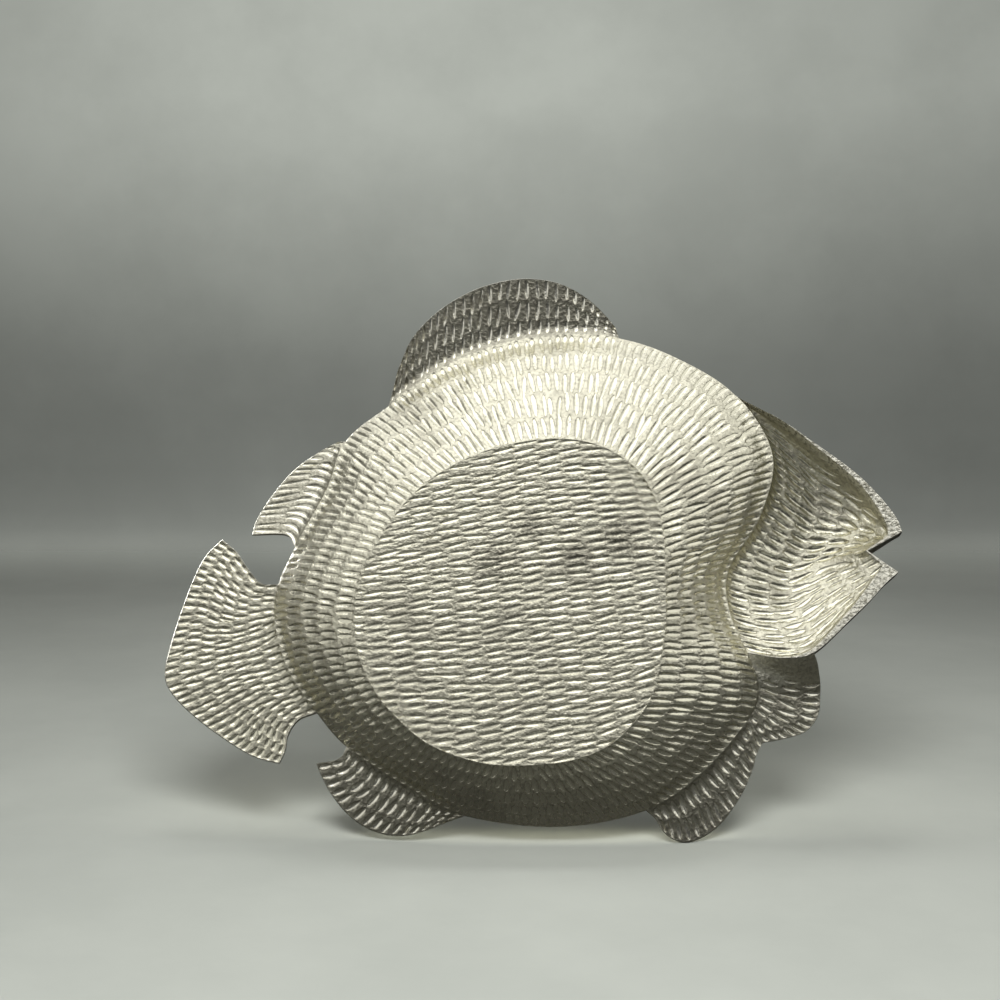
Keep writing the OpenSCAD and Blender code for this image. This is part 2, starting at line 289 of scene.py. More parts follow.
def row_of_cuts(along, place, count, width, reach, seed, closed, depth, fill, lean, bend=BEND):
    """Depth of one row of cuts.

    Along is the distance from the row's middle line and reach half a cut's length, in metres.
    Place runs from 0 to count across the row, width is one step of it, and fill is the share of a
    step that half a cut takes at its widest. Lean moves the deepest line to one side, and bend is
    1 for sides as straight as a V's and 2 for a round bottom.
    """
    draw = np.random.default_rng(seed)
    length = draw.uniform(*CUT_LENGTHS, count)
    shift = draw.normal(0, CUT_SHIFT, count)
    side = draw.normal(0, CUT_SIDE, count)
    turn = draw.normal(0, CUT_TURN, count)
    deep = draw.uniform(*CUT_DEPTHS, count)
    wide = draw.uniform(*CUT_WIDTHS, count)
    best = np.zeros_like(along)
    for step in (-1, 0, 1):
        cell = np.floor(place).astype(int) + step
        known = cell % count
        across = (place - cell - 0.5 - side[known])*width
        a = (along - shift[known]*2*reach + across*turn[known])/(reach*length[known])
        slim = np.clip(1 - a*a, CUT_TIP, 1)
        half = fill*width*wide[known]*slim**CUT_TAPER
        off = (across - along*turn[known])/half - lean
        cut = deep[known]*slim*(1 - abs(off/np.where(off > 0, 1 - lean, 1 + lean))**bend)
        if not closed:
            cut = np.where((cell < 0) | (cell >= count), 0, cut)
        best = np.maximum(best, np.where(slim > CUT_TIP, cut, 0))
    return best*depth


# %% Rings of cuts
CUT_PITCH = 5.4*MM
CUT_DEPTH = 1.05*MM
LEAN = 0.45
# The steep side of a cut is the one that faces this way
STEEP_SIDE = np.array([0.45, 0.9])


def distances(grid, axis):
    """How far each point of a grid lies from the grid's first row, going along the axis."""
    steps = np.linalg.norm(np.diff(grid, axis=axis), axis=2)
    start = np.zeros_like(np.take(steps, [0], axis=axis))
    return np.concatenate([start, np.cumsum(steps, axis=axis)], axis=axis)


def rings_of_cuts(grid, rings, pitch, seed, closed=False, depth=CUT_DEPTH, fill=0.36,
                  overlap=1.1, lean_by=LEAN, bend=BEND):
    """Depth of rows of cuts over a grid whose second index runs the way that the gouge ran."""
    way = distances(grid, 1)
    total = way[:, -1:]
    field = np.zeros(way.shape)
    for ring in range(rings):
        middle = (ring + 0.5)/rings
        row = int(round(middle*(grid.shape[1] - 1)))
        round_way = lengths(grid[:, row])
        step = np.gradient(grid[:, row], axis=0)
        lean = (lean_by*(step[:, :2] @ STEEP_SIDE)/np.linalg.norm(step, axis=1))[:, None]
        count = max(3, int(round(round_way[-1]/pitch)))
        place = (round_way/round_way[-1]*count + 0.5*(ring % 2)*closed)[:, None]
        cut = row_of_cuts(way - middle*total, place + 0*way, count, round_way[-1]/count,
                          total/rings/2*overlap, seed + ring, closed, depth, fill, lean, bend)
        field = np.maximum(field, cut)
    return field


def fade(distance, width):
    """0 at a border and 1 from width away, smoothly."""
    t = np.clip(distance/width, 0, 1)
    return t*t*(3 - 2*t)


print("cuts: about", round(CUT_PITCH/MM, 1), "mm apart and", round(CUT_DEPTH/MM, 2), "mm deep")

# %% [markdown]
# A blank becomes a section when every point is laid on the section's own form. Its place on the
# sheet says how far along the root and how far out it belongs, and its layer says whether it is on
# the underside, on the edge or on the serving side. A cast edge is never knife sharp, so the free
# sides are drawn in a little at top and bottom, which rounds them. A bevel would do that too, but
# it would spoil the even squares that the cuts need.


# %% Surface directions
def upward(grid, closed=False):
    """The surface's own direction at each point of a grid, pointing up."""
    if closed:
        along = np.roll(grid, -1, axis=0) - np.roll(grid, 1, axis=0)
    else:
        along = np.gradient(grid, axis=0)
    out = np.gradient(grid, axis=1)
    normal = np.cross(along, out)
    size = np.linalg.norm(normal, axis=2, keepdims=True)
    normal = normal/np.maximum(size, 1e-12)
    return normal*np.where(normal[..., 2:] < 0, -1, 1)


# %% Rounded edges
EDGE_ROUND = 0.9*MM
EDGE_IN = 0.3*MM
# A point is never drawn in by more than this share of the way to the next one
DRAW_MOST = 0.6


def draw_in(sheet, free, much):
    """Draw the free sides of a sheet in a little."""
    ways = {"edge": (np.s_[:, -1], np.s_[:, -2]), "start": (np.s_[0], np.s_[1]),
            "end": (np.s_[-1], np.s_[-2])}
    for side in free:
        at, inner = ways[side]
        way = sheet[inner] - sheet[at]
        most = much/np.maximum(np.linalg.norm(way, axis=1), 1e-9)
        sheet[at] += way*np.minimum(DRAW_MOST, most)[:, None]


# %% Laying a slab on a section
# Shade is painted shade, on edges that face away from the light
MARKS = ("ground", "worn", "shade", "sandy")
# How far up the edge each of the four layers lies
LAYER_RISE = np.array([0, 0.2, 0.8, 1])


def lay_slab(piece, under, top, under_cuts, top_cuts, free=(), **on_faces):
    """Lay a blank slab on a section.

    Under and top are grids of the underside and the serving side, each with the depth of its cuts.
    Marks given by name are kept on the two faces, but ground on the underside alone and shade,
    a painted shade, on the edge alone.
    """
    n, m = under.shape[0] - 1, under.shape[1] - 1
    low = under + upward(under)*under_cuts[..., None]
    high = top - upward(top)*top_cuts[..., None]
    draw_in(low, free, EDGE_IN)
    draw_in(high, free, EDGE_IN)
    outer_low, outer_high = low.copy(), high.copy()
    draw_in(low, free, EDGE_ROUND)
    draw_in(high, free, EDGE_ROUND)
    place = read_points(piece)
    i = n - np.rint(place[:, 0]*n).astype(int)
    j = np.rint(place[:, 1]*m).astype(int)
    layer = np.rint(place[:, 2]).astype(int)
    lowest, highest = layer == 0, layer == LAYERS - 1
    rise = LAYER_RISE[layer][:, None]
    points = outer_low[i, j] + (outer_high[i, j] - outer_low[i, j])*rise
    points = np.where(highest[:, None], high[i, j], points)
    points = np.where(lowest[:, None], low[i, j], points)
    deepest = max(under_cuts.max(), top_cuts.max(), 1e-9)
    cuts = np.where(layer >= LAYERS/2, top_cuts[i, j], under_cuts[i, j])
    marks = {"hollow": cuts/deepest}
    where = {"shade": ~(lowest | highest), "ground": lowest}
    for name in MARKS:
        values = on_faces.get(name, np.zeros(under_cuts.shape))[i, j]
        marks[name] = values*where.get(name, lowest | highest)
    write_points(piece, points, marks)


# %% Finishing a piece
CORNER = math.radians(50)


def finish_piece(piece, solid):
    """Shade the piece smooth up to its real corners, and let it stand for its solid."""
    only(piece)
    bpy.ops.object.shade_smooth_by_angle(angle=CORNER)
    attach(piece, "root")
    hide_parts(solid)
    size = [round(v/MM, 1) for v in piece.dimensions]
    print(piece.name, size, "mm,", len(piece.data.polygons), "faces")
    return piece


# %% [markdown]
# The foot is the flat oval that the platter rests on. A disc with rings and spokes would have long
# thin faces in its middle, so a square sheet is drawn out to the oval instead, which keeps its
# squares even. The gouge ran lengthways here, so the cuts lie across the foot in columns, like
# bricks, a little askew and never quite straight.

# %% Foot's outline
FOOT_SQUARES = (112, 400)


def foot_radius(angle):
    """Distance from the middle of the foot to its outline, in each direction."""
    line = on_closed(FOOT_POINTS, np.linspace(0, len(FOOT_POINTS), 2000, endpoint=False))
    way = np.arctan2(line[:, 1], line[:, 0])
    order = np.argsort(way)
    reach = np.hypot(line[:, 0], line[:, 1])[order]
    return np.interp(angle, way[order], reach, period=2*math.pi)


def oval_grid(n, m):
    """A square grid drawn out to the foot's oval, and how far out each point is."""
    u = np.linspace(1, -1, n + 1)[:, None] + np.zeros(m + 1)
    v = np.linspace(-1, 1, m + 1)[None, :] + np.zeros((n + 1, 1))
    x = u*np.sqrt(1 - v*v/2)
    y = v*np.sqrt(1 - u*u/2)
    out = np.hypot(x, y)
    angle = np.arctan2(y, x)
    reach = foot_radius(angle)*out
    return np.stack([reach*np.cos(angle), reach*np.sin(angle), 0*x], axis=2), out


# %% Foot's cuts
FOOT_CUT_LEN = 14.5*MM
FOOT_CUT_DEPTH = 0.95*MM
FOOT_FILL = 0.30
FOOT_OVERLAP = 1.15
FOOT_TURN = math.radians(-11)
FOOT_BORDER = 0.8*MM


def foot_cuts(grid, out, seed):
    """Columns of cuts across the foot, which wander a little as the hand did."""
    x = grid[..., 0]*math.cos(FOOT_TURN) + grid[..., 1]*math.sin(FOOT_TURN)
    y = grid[..., 1]*math.cos(FOOT_TURN) - grid[..., 0]*math.sin(FOOT_TURN)
    x = x + 1.6*MM*np.sin(y*70) + 1.2*MM*np.sin(y*31 + 1)
    y = y + 0.6*MM*np.sin(x*38 + 1) + 0.3*MM*np.sin(x*85 + y*20)
    columns = math.ceil(FOOT_LEN/FOOT_CUT_LEN/2) + 1
    count = 2*math.ceil(FOOT_W/CUT_PITCH/2) + 8
    field = np.zeros(x.shape)
    for column in range(-columns, columns + 1):
        place = y/CUT_PITCH + count/2 + 0.5*(column % 2)
        cut = row_of_cuts(x - column*FOOT_CUT_LEN, place, count, CUT_PITCH,
                          FOOT_CUT_LEN/2*FOOT_OVERLAP, seed + column, True, FOOT_CUT_DEPTH,
                          FOOT_FILL, LEAN)
        field = np.maximum(field, cut)
    return field*fade((1 - out)*FOOT_W/2, FOOT_BORDER)


# %% Foot
def make_foot():
    """Make the flat foot."""
    grid, out = oval_grid(*FOOT_SQUARES)
    piece = blank_slab("foot_metal", *FOOT_SQUARES)
    lay_slab(piece, grid, grid + (0, 0, METAL_T), foot_cuts(grid, out, 100),
             foot_cuts(grid, out, 200))
    return finish_piece(piece, "foot_panel")


foot = make_foot()

# %% [markdown]
# The wall rises from the foot to the rim, bowed so that it is steepest at the rim. A straight wall
# would be a plain bridge between the two outlines, but the light on the real one turns from bright
# to dark over its width, and only a bowed face does that. The gouge was pushed outwards here, in
# five rings, so the cuts stand like the staves of a tub.

# %% Wall's profile
WALL_BOW_SHARE = 0.35
WALL_ROUND_SHARE = 0.9


def bow(r):
    """Height of a round bowl at share r of its way out."""
    return 1 - np.sqrt(1 - (WALL_ROUND_SHARE*r)**2)


def wall_height(r):
    """Height of the wall at share r of its way out, as a share of the depth."""
    return (1 - WALL_BOW_SHARE)*r + WALL_BOW_SHARE*bow(r)/bow(1)


def wall_slope(r):
    """How steep the wall is at share r of its way out."""
    steep = WALL_ROUND_SHARE**2*r/np.sqrt(1 - (WALL_ROUND_SHARE*r)**2)/bow(1)
    return (1 - WALL_BOW_SHARE) + WALL_BOW_SHARE*steep


print("wall: halfway out it has risen", round(DISH_DEPTH*wall_height(0.5)/MM, 1), "mm")

# %% Wall's two faces
WALL_AROUND = 1240
WALL_UNDER = 40
WALL_TOP = 34
# Next to the rim the serving side leans inwards by less and less, to stay over the rim
RIM_UPRIGHT = 0.15


def wall_grids():
    """The wall's underside from foot to rim and its inside from rim to foot."""
    w = np.linspace(0, len(RIM_POINTS), WALL_AROUND, endpoint=False)
    foot_at = on_closed(FOOT_POINTS, w)
    rim_at = on_closed(RIM_POINTS, w)
    way = rim_at[:, :2] - foot_at[:, :2]
    width = np.linalg.norm(way, axis=1)[:, None]
    way = way/width
    depth = rim_at[:, 2:]

    def at(back, z):
        flat = foot_at[:, None, :2] + way[:, None]*back[..., None]
        return np.concatenate([flat, z[..., None]], axis=2)

    r = np.linspace(0, 1, WALL_UNDER + 1)[None, :]
    under = at(width*r, depth*wall_height(r))
    r = np.linspace(1, 0, WALL_TOP + 1)[None, :]
    tilt = np.arctan(depth*wall_slope(r)/width)*fade(r, RIM_UPRIGHT)
    inside = at(width*r - METAL_T*np.sin(tilt), depth*wall_height(r) + METAL_T*np.cos(tilt))
    return under, inside


# %% Wall's cuts
WALL_RINGS = 5


def wall_cuts(under, inside):
    """Depth of the cuts on both faces of the wall, none of them at the foot or the rim."""
    closed_under = np.concatenate([under, under[:1]])
    closed_inside = np.concatenate([inside, inside[:1]])[:, ::-1]
    under_cuts = rings_of_cuts(closed_under, WALL_RINGS, CUT_PITCH, 300, closed=True)[:-1]
    inside_cuts = rings_of_cuts(closed_inside, WALL_RINGS, CUT_PITCH, 400, closed=True)
    inside_cuts = inside_cuts[:-1, ::-1]
    share = np.linspace(0, 1, WALL_UNDER + 1)
    under_cuts *= fade(share, 0.012)*fade(1 - share, 0.04)
    share = np.linspace(1, 0, WALL_TOP + 1)
    inside_cuts *= fade(share, 0.04)*fade(1 - share, 0.05)
    return under_cuts, inside_cuts


# %% Wall
RIM_ROUND = 0.8*MM
RIM_SHADE = 0.2


def make_wall():
    """Make the dish's wall."""
    under, inside = wall_grids()
    under_cuts, inside_cuts = wall_cuts(under, inside)
    low = under + upward(under, closed=True)*under_cuts[..., None]
    to_rim = distances(under[:, ::-1], 1)[:, ::-1]
    w = np.linspace(0, len(RIM_POINTS), WALL_AROUND, endpoint=False)
    low[..., 2] -= fillet(w, to_rim)
    high = inside - upward(inside, closed=True)*inside_cuts[..., None]
    rim_low = under[:, -1:] + (0, 0, RIM_ROUND)
    rim_high = under[:, -1:] + (0, 0, METAL_T - RIM_ROUND)
    loops = np.concatenate([low, rim_low, rim_high, high], axis=1)
    hollow = np.concatenate([under_cuts, 0*under_cuts[:, :2], inside_cuts], axis=1)
    across = loops.shape[1]
    piece = blank_sheet("wall_metal", WALL_AROUND, across)
    place = read_points(piece)
    i = np.rint(place[:, 0]*WALL_AROUND).astype(int) % WALL_AROUND
    j = np.rint(place[:, 1]*across).astype(int) % across
    marks = {name: 0*place[:, 0] for name in MARKS}
    marks["hollow"] = hollow[i, j]/hollow.max()
    # Painted shade darkens the rim's side a little
    marks["shade"] = RIM_SHADE*((j == WALL_UNDER + 1) | (j == WALL_UNDER + 2))
    write_points(piece, loops[i, j], marks)
    merge_seams(piece)
    return finish_piece(piece, "dish_wall")


wall = make_wall()

# %% [markdown]
# The fins are thin plates that grow out of stretches of the rim. An outline could be filled and
# then bent, but its faces would not follow the fin. So each fin is drawn as four lines: the root
# on the rim, the free edge, and two sides. The sheet is stretched between the four lines, as a
# cloth is over a frame, so its rays fan out from the root by themselves, as the cuts on the real
# fins do.


# %% Sheet between four lines
def patch(root, edge, start, end, z_turn=1.0):
    """Sheet of points stretched between a root line, an edge line and two side lines."""
    n = len(root) - 1
    middle = (start + end)/2
    t = np.linalg.norm(middle - middle[0], axis=1)/np.linalg.norm(middle[-1] - middle[0])
    t = t[None, :, None]

    def at(s):
        s = s[:, None, None]
        return ((1 - t)*root[:, None] + t*edge[:, None] + (1 - s)*start[None] + s*end[None]
                - (1 - s)*((1 - t)*root[0] + t*edge[0]) - s*((1 - t)*root[n] + t*edge[n]))

    s = np.linspace(0, 1, n + 1)
    sheet = at(s)
    sheet[..., 2] = at(1 - (1 - s)**z_turn)[..., 2]
    return sheet


def free_distance(sheet, sides):
    """Distance of each point of a sheet from the nearest of the named sides."""
    out, along = distances(sheet, 1), distances(sheet, 0)
    ways = {"root": out, "edge": out[:, -1:] - out, "start": along, "end": along[-1:] - along}
    return np.min([ways[side] for side in sides], axis=0)


# %% Lines of a fin
def root_line(ends, n):
    """The stretch of the rim between two places of the table."""
    return on_closed(RIM_POINTS, np.linspace(ends[0], ends[1], n + 1))


def beside(ends, shares, out, lift):
    """Points beside a root: shares along its chord and outward, and lift at full reach."""
    a, b = on_closed(RIM_POINTS, np.array(ends, float))
    chord = b[:2] - a[:2]
    outward = np.array([chord[1], -chord[0]])/np.linalg.norm(chord)
    points = []
    for share in shares:
        rise = share[2] if len(share) > 2 else share[1]
        place = a[:2] + chord*share[0] + outward*share[1]*out
        points.append((place[0], place[1], DISH_DEPTH + rise*lift))
    return np.array(points)


def side_line(corner, points, m):
    """A side of a fin, from its corner on the rim through the points."""
    return on_open(np.vstack([corner, points[1:]]), m)


def fanned(edge, root, centre):
    """The edge line again, with its points seen from a centre as evenly spread as the root's."""
    def turn(line):
        angle = np.unwrap(np.arctan2(line[:, 1] - centre[1], line[:, 0] - centre[0]))
        return (angle - angle[0])/(angle[-1] - angle[0])
    at = turn(edge)
    share = np.clip(turn(root), 0, 1)
    return np.stack([np.interp(share, at, edge[:, k]) for k in range(3)], axis=1)


# %% Cutting a section
BORDER = 1.4*MM
WORN_WIDTH = 1.3*MM
# The serving side's cuts are a little shallower, and the finer strokes narrower and shallower
TOP_DEPTH_SHARE = 0.85
FINE_PITCH_SHARE = 0.62
FINE_DEPTH = 0.45*MM


def make_section(name, solid, under, top, rings, pitch, seed, free, ground=0.0, calm=1.0,
                 fine=0.0, shade=0.0, sandy=0.0, root_calm=1.6*MM, depth=CUT_DEPTH, **cuts):
    """Make one section from its two sheets, cut with the gouge on both sides.

    Ground marks where it was ground flat, calm is the share of the cuts' depth, fine that of the
    finer strokes, shade marks painted shade on an edge, sandy where the sand mould left it
    rough, and root_calm how far the root stays plain.
    """
    plain = np.zeros(under.shape[:2])
    border = fade(free_distance(under, ("edge", "start", "end")), BORDER)
    border = border*fade(free_distance(under, ("root",)), root_calm)
    under_cuts = rings_of_cuts(under, rings, pitch, seed, depth=depth, **cuts)*calm*border
    under_cuts += rings_of_cuts(under, rings + 1, pitch*FINE_PITCH_SHARE, seed + 30,
                                depth=FINE_DEPTH)*fine*border
    top_cuts = rings_of_cuts(top, rings, pitch, seed + 50, depth=TOP_DEPTH_SHARE*depth,
                             **cuts)*calm*border
    piece = blank_slab(name, under.shape[0] - 1, under.shape[1] - 1)
    lay_slab(piece, under, top, under_cuts*(1 - ground), top_cuts, free, ground=plain + ground,
             worn=1 - fade(free_distance(under, free), WORN_WIDTH), shade=plain + shade,
             sandy=plain + sandy)
    return finish_piece(piece, solid)


# %% Making a fin
def fin_thickness(m):
    """The metal's thickness from the root to the edge, as a step upwards."""
    return np.linspace(METAL_T, EDGE_T, m + 1)[None, :, None]*np.array([0, 0, 1])


def make_fin(name, solid, ends, out, lift, start, edge, end, squares, rings, seed,
             pitch=CUT_PITCH, fan=None, **finish):
    """Make a plain fin; squares says how many squares it has along and across."""
    n, m = squares
    root = root_line(ends, n)
    edge_line = on_open(beside(ends, edge, out, lift), 8*n)
    edge_line = fanned(edge_line, root, fan) if fan else edge_line[::8]
    sheet = patch(root, edge_line, side_line(root[0], beside(ends, start, out, lift), m),
                  side_line(root[-1], beside(ends, end, out, lift), m))
    top = sheet + fin_thickness(m)
    away = free_distance(sheet, ("root",))
    sheet = sheet.copy()
    sheet[..., 2] -= fillet(np.linspace(ends[0], ends[1], n + 1), away)
    return make_section(name, solid, sheet, top, rings, pitch, seed, ("edge", "start", "end"),
                        **finish)


# %% [markdown]
# The dorsal fin is the large one on the fish's back, and its edge turns down. Its cuts spread from
# a point inside the dish, as the rays of a real fin do. Even steps along its edge would crowd them
# at one end, so the edge is divided as seen from that point. The cuts are narrow, far apart and
# deep, with rough dark metal between them.

# %% Dorsal fin
dorsal_fin = make_fin(
    "dorsal_fin_metal", "dorsal_fin", (5, 9), out=62*MM, lift=-12*MM,
    start=[(0, 0), (0.08, 0.35)],
    edge=[(0.08, 0.35), (0.18, 0.66), (0.32, 0.87), (0.48, 0.98), (0.63, 0.98), (0.74, 0.91),
          (0.84, 0.77), (0.92, 0.55), (0.97, 0.32), (1.00, 0.12)],
    end=[(1, 0), (1.00, 0.12)],
    squares=(330, 44), rings=3, seed=500, pitch=6.8*MM, fan=(-0.02, -0.12), sandy=0.75,
    depth=1.25*MM, fill=0.25, root_calm=7*MM)

# %% [markdown]
# The rear dorsal fin is a small one just before the tail, and its edge turns up. It could be a
# scaled copy of the large fin, but its outline leans back and ends in a point, so it gets its own.

# %% Rear dorsal fin
rear_dorsal_fin = make_fin(
    "rear_fin_metal", "rear_dorsal_fin", (2, 4), out=35*MM, lift=13*MM,
    start=[(0, 0), (0.08, 0.30), (0.00, 0.97)],
    edge=[(0.00, 0.97), (0.12, 1.02), (0.25, 1.00), (0.47, 0.90), (0.67, 0.72), (0.86, 0.41),
          (0.98, 0.14)],
    end=[(1, 0), (0.98, 0.14)],
    squares=(120, 26), rings=2, seed=600, sandy=0.3)

# %% [markdown]
# The tail is a wide fan, narrow where it leaves the rim, with two corners that point back.
# Mirroring one half would be quick, but the real tail isn't even, so both sides are drawn. It is
# nearly flat and carries seven rows of cuts.

# %% Tail
tail_fin = make_fin(
    "tail_metal", "tail_fin", (25, 28), out=88*MM, lift=3*MM,
    start=[(0, 0), (-0.01, 0.14), (-0.09, 0.24), (-0.19, 0.29), (-0.27, 0.36)],
    edge=[(-0.27, 0.36), (-0.16, 0.53), (0.04, 0.71), (0.26, 0.87), (0.47, 0.98), (0.62, 0.99),
          (0.80, 0.90), (1.02, 0.76), (1.24, 0.60), (1.38, 0.47), (1.47, 0.31)],
    end=[(1, 0), (1.05, 0.12), (1.18, 0.18), (1.34, 0.23), (1.47, 0.31)],
    squares=(330, 60), rings=7, seed=700)

# %% [markdown]
# The anal and the pelvic fin are the two small ones that the platter stands on in the photograph.
# The cuts on the lower fins are narrow and nearly V shaped. A rounder cut would mirror a soft band
# of light, but such a straight side catches the light all along, so each cut shows as one bright
# sliver on the dark metal, as it does on the real fins.

# %% Anal fin
SLIVERS = {"fill": 0.37, "depth": 1.3*MM, "lean_by": -0.1, "bend": 1.12, "overlap": 1.0}

anal_fin = make_fin(
    "anal_fin_metal", "anal_fin", (22, 24), out=37*MM, lift=10*MM,
    start=[(0, 0), (0.09, 0.24)],
    edge=[(0.09, 0.24), (0.19, 0.52), (0.30, 0.77), (0.43, 0.93), (0.58, 1.00), (0.75, 0.97),
          (0.93, 0.82), (1.06, 0.64), (1.14, 0.50)],
    end=[(1, 0), (1.01, 0.24), (1.14, 0.50)],
    squares=(200, 36), rings=3, seed=800, pitch=6.3*MM, sandy=0.6, root_calm=4*MM, **SLIVERS)

# %% Pelvic fin
PELVIC_ROOT = (18, 20)
PELVIC_OUT = 37*MM
PELVIC_LIFT = 10*MM
PELVIC_START = [(0, 0), (0.035, 0.47)]

pelvic_fin = make_fin(
    "pelvic_fin_metal", "pelvic_fin", PELVIC_ROOT, out=PELVIC_OUT, lift=PELVIC_LIFT,
    start=PELVIC_START,
    edge=[(0.035, 0.47), (0.12, 0.54), (0.21, 0.68), (0.34, 0.83), (0.49, 0.94), (0.64, 1.00),
          (0.79, 0.98), (0.92, 0.85), (0.985, 0.64), (1.00, 0.41)],
    end=[(1, 0), (0.985, 0.20), (1.00, 0.41)],
    squares=(200, 36), rings=2, seed=900, pitch=5.9*MM, sandy=0.6, root_calm=4*MM, **SLIVERS)

# %% [markdown]
# The head is a hollow shell, open to the camera: its cheek is domed up like the back of a spoon.
# A squashed sphere would give a dome, but not one that meets the gill, the forehead and the cut
# mouth, so it is stretched between four lines as the fins are, and the dome is added as a height.
# The head's edge starts thin at the gill and grows into a flat band that was ground smooth around
# the mouth.

# %% Lines along the head
HEAD_ROOT = (11, 16)
HEAD_LEN = 103*MM
HEAD_DROP = 18*MM
FOREHEAD_SHARES = [(0.11, 0.27, 0.45), (0.22, 0.50, 0.67), (0.33, 0.72, 0.85),
                   (0.42, 0.86, 0.93), (0.51, 0.965, 1), (0.57, 1.00, 1)]
THROAT_SHARES = [(1.03, 0.21, 0.95), (1.01, 0.40, 1), (0.89, 0.64, 1), (0.82, 0.77, 1),
                 (0.76, 0.87, 1), (0.715, 0.96, 1)]
MOUTH_CORNER_SHARE = (0.632, 0.78, 0.8)


def head_line(corner, shares, m):
    """A long side of the head, from its corner on the rim to the mouth."""
    return on_open(np.vstack([corner, beside(HEAD_ROOT, shares, HEAD_LEN, -HEAD_DROP)]), m)


def mouth_line(lip, jaw, n):
    """Straight from the upper lip in to the corner of the mouth and out to the jaw."""
    corner = beside(HEAD_ROOT, [MOUTH_CORNER_SHARE], HEAD_LEN, -HEAD_DROP)[0]
    half = n//2
    inward = np.linspace(0, 1, half + 1)[:, None]
    outward = np.linspace(0, 1, n - half + 1)[1:, None]
    return np.vstack([lip + (corner - lip)*inward, corner + (jaw - corner)*outward])


# %% Arch of the cheek
CHEEK_HIGH_SHARE = 0.28
CHEEK_SQUARE = 0.7
CHEEK_NEAR_GILL = 0.75


def arch(s, t, band):
    """Height of the cheek, 0 at its edge and 1 at its highest."""
    b = band*t*t
    across = np.clip((s - b)/(1 - 2*b), 0, 1)
    along = np.minimum(1, t/(1 - band/3))
    lean = math.log(0.5)/math.log(CHEEK_HIGH_SHARE)
    return (np.sin(math.pi*across**lean).clip(0)**CHEEK_SQUARE
            * np.sin(math.pi*along**CHEEK_NEAR_GILL).clip(0))


# %% Head's two faces
CHEEK_RISE = 25*MM
BROW_H = 12*MM
BROW_SQUARE = 4
LIP_H = 20*MM
LIP_SQUARE = 3
BAND_SHARE = 0.22
HEAD_UNDER_TOP = 0.1*MM


def head_sheets(flat, s, t):
    """The hollow underside and the serving side of the head, over its flat sheet."""
    up = np.array([0, 0, 1])
    lip = t**LIP_SQUARE
    edge = ((BROW_H - METAL_T)*(1 - np.sin(math.pi*s))**BROW_SQUARE
            * np.sin(math.pi/2*np.minimum(1, 2*t)))
    under = flat + (CHEEK_RISE*arch(s, t, BAND_SHARE))[..., None]*up
    high = (METAL_T + edge
            + (LIP_H - METAL_T)*lip*np.sin(math.pi*s).clip(0)**CHEEK_SQUARE
            + CHEEK_RISE*arch(s, t, 0)*(1 - lip))
    return under, flat + (high - HEAD_UNDER_TOP)[..., None]*up


# %% Head's finish
def head_finish(s, t):
    """Where the head is ground, how deep its cuts and finer strokes are, and its painted shade."""
    b = BAND_SHARE*t*t
    inside = np.minimum((s - b)/(1 - 2*b), (1 - b - s)/(1 - 2*b))
    to_band = np.minimum(inside, (1 - BAND_SHARE/3 - t)*0.6 + 0.02)
    ground = 1 - fade(to_band, 0.02)
    cheek = fade(s - 0.42, 0.25)*fade(t - 0.12, 0.4)
    near_forehead = 0.2 + 0.8*fade(s - 0.02, 0.2)
    near_mouth = 1 - 0.6*fade(t - 0.55, 0.35)
    calm = (1 - 0.85*cheek)*near_forehead*near_mouth
    # Painted shade on the throat's outer side and the mouth's cut face, which face down
    shade = np.maximum(fade(s - 0.9, 0.05), fade(t - 0.97, 0.02)*(s < 0.5))
    return {"ground": ground, "calm": calm, "fine": 0.8*cheek, "shade": shade}


# %% Head
HEAD_SQUARES = (250, 66)


def make_head():
    """Make the hollow head with its cut mouth."""
    n, m = HEAD_SQUARES
    root = root_line(HEAD_ROOT, n)
    brow = head_line(root[0], FOREHEAD_SHARES, m)
    throat = head_line(root[-1], THROAT_SHARES, m)
    flat = patch(root, mouth_line(brow[-1], throat[-1], n), brow, throat)
    s = np.linspace(0, 1, n + 1)[:, None] + np.zeros((1, m + 1))
    t = np.linspace(0, 1, m + 1)[None, :] + np.zeros((n + 1, 1))
    under, top = head_sheets(flat, s, t)
    w = np.linspace(HEAD_ROOT[0], HEAD_ROOT[1], n + 1)
    under[..., 2] -= fillet(w, free_distance(flat, ("root",)))
    return make_section("head_metal", "head", under, top, rings=7, pitch=6.0*MM, seed=1000,
                        free=("start", "end", "edge"), depth=1.35*MM, fill=0.41,
                        **head_finish(s, t))


head = make_head()

# %% [markdown]
# The pectoral fin sits behind the throat. On the real platter a plain wall runs down from the
# throat into it, with no edge between them. The two could be separate pieces with a joint to hide,
# so they are one: the sheet starts along the head's lower edge, ends where the pelvic fin begins,
# and has no cuts on the wall.

# %% Pectoral fin
PECTORAL_ROOT = (16, 18)
PECTORAL_OUT = 48*MM
PECTORAL_LIFT = 9*MM
PECTORAL_EDGE = [(0.16, 0.92, -1.2), (0.29, 0.97, -0.2), (0.43, 1.00, 0.5), (0.60, 1.00, 0.9),
                 (0.84, 0.98, 1), (1.05, 0.89, 0.9), (1.20, 0.74, 0.8), (1.30, 0.49, 0.6)]
PECTORAL_SQUARES = (150, 48)
THROAT_PART = 4/12
THROAT_TURN = 1.3


